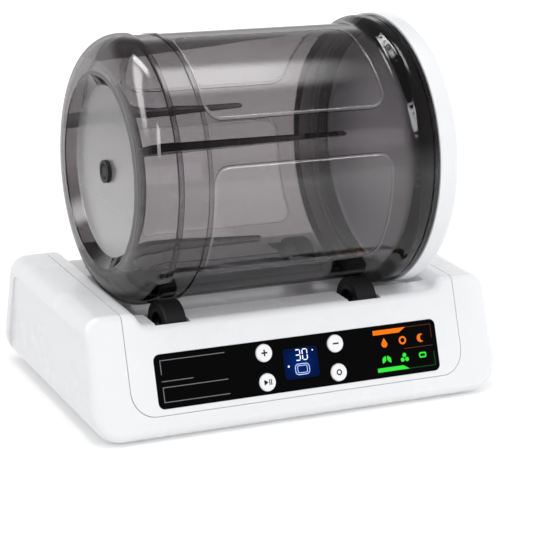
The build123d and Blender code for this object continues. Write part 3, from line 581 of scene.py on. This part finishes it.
figures = seven_segment("3", -2.4, 6.3) + seven_segment("0", 3.7, 6.3)
printed("display_figures", figures, segment_light, "base")
printed("display_drum_mark", [
    [rounded_box(0.3, -4.8, 12.6, 8.8, 3.0), rounded_box(0.3, -4.8, 11.4, 7.6, 2.4)],
    [rounded_box(0.3, -4.8, 8.6, 6.0, 1.2), rounded_box(0.3, -4.8, 7.6, 5.0, 0.9)],
], frame_light, "base")
printed("display_dots", [
    [arc_points(-11.2, -1.6, 0.8, count=16)],
    [arc_points(10.6, 8.8, 0.6, count=16)],
], segment_light, "base")


def pane_outline():
    """Outline of a pane laid flat, with enough points to bend it round the drum."""
    middle_x = (pane_left + pane_right) / 2
    corners = rounded_box(middle_x, 0, pane_right - pane_left, pane_height, pane_corner_r)
    bend_step = 4.0
    outline = []
    for spot, following in zip(corners, corners[1:] + corners[:1]):
        count = max(1, round(abs(following.y - spot.y) / bend_step))
        outline += [spot.lerp(following, i / count) for i in range(count)]
    return outline


def add_bead(beads, outline, facing):
    """Closed half-round bead along one pane's outline, seated on the drum's outer face."""
    front = Vector((0, -cos(facing), sin(facing)))
    above = Vector((0, sin(facing), cos(facing)))
    outward, path = [], []
    for spot in outline:
        way = (front * (drum_r ** 2 - spot.y ** 2) ** 0.5 + above * spot.y) / drum_r
        outward.append(way)
        path.append(Vector((spot.x, 0, drum_axis_z)) + way * drum_r)
    section_steps = 6
    rings = []
    for i, (spot, way) in enumerate(zip(path, outward)):
        along = path[(i + 1) % len(path)] - path[i - 1]
        across = along.cross(way).normalized()
        ring = []
        for step in range(section_steps + 1):
            turn = pi * step / section_steps
            offset = across * cos(turn) * bead_width / 2 + way * sin(turn) * bead_height
            ring.append(beads.verts.new((spot + offset) * MM))
        rings.append(ring)
    for ring, following in zip(rings, rings[1:] + rings[:1]):
        for step in range(section_steps + 1):
            near, far = step, (step + 1) % (section_steps + 1)
            beads.faces.new((ring[near], following[near], following[far], ring[far]))


def pane_beads():
    """The beads of all the panes as one piece of the drum's own plastic."""
    beads = bmesh.new()
    outline = pane_outline()
    for step in range(pane_count):
        add_bead(beads, outline, first_rib_facing + (step + 0.5) * 2 * pi / pane_count)
    bmesh.ops.recalc_face_normals(beads, faces=beads.faces)
    mesh = bpy.data.meshes.new("pane_beads")
    beads.to_mesh(mesh)
    beads.free()
    mesh.shade_smooth()
    mesh.set_sharp_from_angle(angle=radians(60))
    mesh.materials.append(smoke_clear)
    piece = bpy.data.objects.new("pane_beads", mesh)
    scene.collection.objects.link(piece)
    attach(piece, "drum")


pane_beads()


def floor_finish():
    """White floor that keeps the shadow and looks white to the camera, gloss and clear pieces; its glow is
    weaker near the object, a painted shade round it.
    """
    material, tree, shader = new_material("floor_white")
    white = {"Color": (0.86, 0.86, 0.86, 1.0), "Depth": 0.01, "Patch mm": 400.0}
    tone = place_group(tree, mottle, white)
    tree.links.new(tone.outputs["Color"], shader.inputs["Base Color"])
    shader.inputs["Roughness"].default_value = 0.7
    shader.inputs["Specular IOR Level"].default_value = 0.1
    shader.inputs["Emission Color"].default_value = (1.0, 1.0, 1.0, 1.0)
    path = add_node(tree, "ShaderNodeLightPath").outputs
    seen = calc(tree, "MAXIMUM", path["Is Camera Ray"], path["Is Glossy Ray"])
    seen = calc(tree, "MAXIMUM", seen, path["Is Transmission Ray"])
    place = add_node(tree, "ShaderNodeTexCoord").outputs["Object"]
    away = add_node(tree, "ShaderNodeVectorMath", {0: place}, operation="LENGTH").outputs["Value"]
    # The glow is lower near the object: painted shade round its foot
    near, far = 0.25, 1.3
    painted_shade_near_glow, far_glow = 0.24, 0.44
    glow = ramp(tree, away, near, far, painted_shade_near_glow, far_glow)
    tree.links.new(calc(tree, "MULTIPLY", seen, glow), shader.inputs["Emission Strength"])
    return material


half_floor = 7.0
floor_corners = [(x * half_floor, y * half_floor, 0) for x, y in ((-1, -1), (1, -1), (1, 1), (-1, 1))]
floor_mesh = bpy.data.meshes.new("floor")
floor_mesh.from_pydata(floor_corners, [], [(0, 1, 2, 3)])
floor_mesh.materials.append(floor_finish())
floor = bpy.data.objects.new("floor", floor_mesh)
scene.collection.objects.link(floor)


def studio_world():
    """White surroundings; gloss finds a white sweep behind the object and a dim room elsewhere."""
    world = bpy.data.worlds.new("studio")
    world.use_nodes = True
    tree = world.node_tree
    path = add_node(tree, "ShaderNodeLightPath").outputs
    place = add_node(tree, "ShaderNodeTexCoord").outputs["Generated"]
    _, back, up = add_node(tree, "ShaderNodeSeparateXYZ", {0: place}).outputs
    fill_level = 0.82
    room_level = 0.22
    horizon_level = 0.9
    sweep = calc(tree, "MULTIPLY", ramp(tree, up, 0.30, 0.55, 1.0, 0.0), ramp(tree, back, -0.35, 0.05))
    low_sweep = calc(tree, "MAXIMUM", sweep, ramp(tree, up, 0.0, 0.30, horizon_level, 0.0))
    mirrored = calc(tree, "ADD", room_level, calc(tree, "MULTIPLY", low_sweep, 1 - room_level))
    seen = calc(tree, "MAXIMUM", path["Is Camera Ray"], path["Is Transmission Ray"])
    lit = calc(tree, "MULTIPLY", calc(tree, "SUBTRACT", 1.0, path["Is Glossy Ray"]), fill_level)
    hidden = calc(tree, "ADD", calc(tree, "MULTIPLY", path["Is Glossy Ray"], mirrored), lit)
    level = calc(tree, "MAXIMUM", seen, hidden)
    tree.links.new(level, tree.nodes["Background"].inputs["Strength"])
    tree.nodes["Background"].inputs["Color"].default_value = (1.0, 1.0, 1.0, 1.0)
    scene.world = world


def softbox(name, start, stop, aim, depth, watts, fade_from=0.7, fills=True, mirrored=True):
    """Studio lamp whose long side runs between two points; it is dimmer towards its edges.

    It can be a fill that no gloss shows, or a card that only gloss shows.
    """
    start, stop, aim = Vector(start), Vector(stop), Vector(aim)
    middle = (start + stop) / 2
    long_way = (stop - start).normalized()
    behind = middle - aim
    behind = (behind - long_way * behind.dot(long_way)).normalized()
    lamp = bpy.data.lights.new(name, "AREA")
    lamp.shape = "RECTANGLE"
    lamp.size = (stop - start).length
    lamp.size_y = depth
    lamp.energy = watts
    lamp.use_nodes = True
    tree = lamp.node_tree
    spot = add_node(tree, "ShaderNodeNewGeometry").outputs["Parametric"]
    across, along, _ = add_node(tree, "ShaderNodeSeparateXYZ", {0: spot}).outputs
    side_fade = 0.2
    end_fade = 0.35
    sides = calc(
        tree, "MULTIPLY", ramp(tree, across, 0.0, side_fade), ramp(tree, across, fade_from, 1.0, 1.0, 0.0)
    )
    ends = calc(
        tree, "MULTIPLY", ramp(tree, along, 0.0, end_fade), ramp(tree, along, 1 - end_fade, 1.0, 1.0, 0.0)
    )
    tree.links.new(calc(tree, "MULTIPLY", sides, ends), tree.nodes["Emission"].inputs["Strength"])
    lamp_object = bpy.data.objects.new(name, lamp)
    turn = Matrix((long_way, behind.cross(long_way), behind)).transposed().to_4x4()
    lamp_object.matrix_world = Matrix.Translation(middle) @ turn
    lamp_object.visible_diffuse = fills
    lamp_object.visible_glossy = mirrored
    scene.collection.objects.link(lamp_object)


studio_world()

# Fills that light the object without showing in its gloss
drum_middle = (0.0, 0.0, drum_axis_z * MM)
softbox(
    "left_fill", (-0.20, 0.35, 1.75), (-0.50, -1.00, 1.68), drum_middle,
    depth=0.7, watts=12.5, mirrored=False,
)
softbox(
    "front_key", (0.5, -2.0, 1.0), (1.3, -1.7, 1.0), drum_middle,
    depth=0.9, watts=19.0, mirrored=False,
)

# Cards that show in the drum's gloss: along its upper front, on its closed end and on its mouth
under_top_box = (0.46, 0.0, 0.0)
cap_middle = (-0.125, -0.06, 0.25)
mouth_top = (0.088, -0.045, 0.280)
mouth_front = (0.088, -0.095, 0.232)
softbox(
    "top_box", (0.25, 0.0, 1.35), (0.67, 0.0, 1.35), under_top_box,
    depth=0.78, watts=6.0, fade_from=0.5, fills=False,
)
softbox(
    "cap_card", (-0.385, 0.405, 1.44), (-1.385, -0.124, 0.553), cap_middle,
    depth=0.5, watts=18.0, fills=False,
)
softbox(
    "mouth_top_card", (-0.43, 0.767, 1.44), (-0.147, 0.046, 1.75), mouth_top,
    depth=0.4, watts=12.0, fills=False,
)
softbox(
    "mouth_front_card", (-0.90, -0.95, 1.45), (-1.30, -1.10, 0.60), mouth_front,
    depth=0.4, watts=9.0, fills=False,
)


def photo_camera():
    """Camera at the photo's angle, its focal length turned from pixels into a lens."""
    level_back = Vector((sin(camera_yaw), -cos(camera_yaw), 0))
    back = level_back * cos(camera_pitch) + Vector((0, 0, sin(camera_pitch)))
    right = Vector((0, 0, 1)).cross(back).normalized()
    up = back.cross(right)
    c, s = cos(camera_roll), sin(camera_roll)
    columns = (c * right + s * up, c * up - s * right, back)
    lens = bpy.data.cameras.new("camera")
    lens.sensor_width = sensor_mm
    lens.lens = focal_px * sensor_mm / picture_px
    lens.clip_end = 50.0
    camera = bpy.data.objects.new("camera", lens)
    place = (camera_target + back * camera_distance) * MM
    camera.matrix_world = Matrix.Translation(place) @ Matrix(columns).transposed().to_4x4()
    scene.collection.objects.link(camera)
    scene.camera = camera


photo_camera()
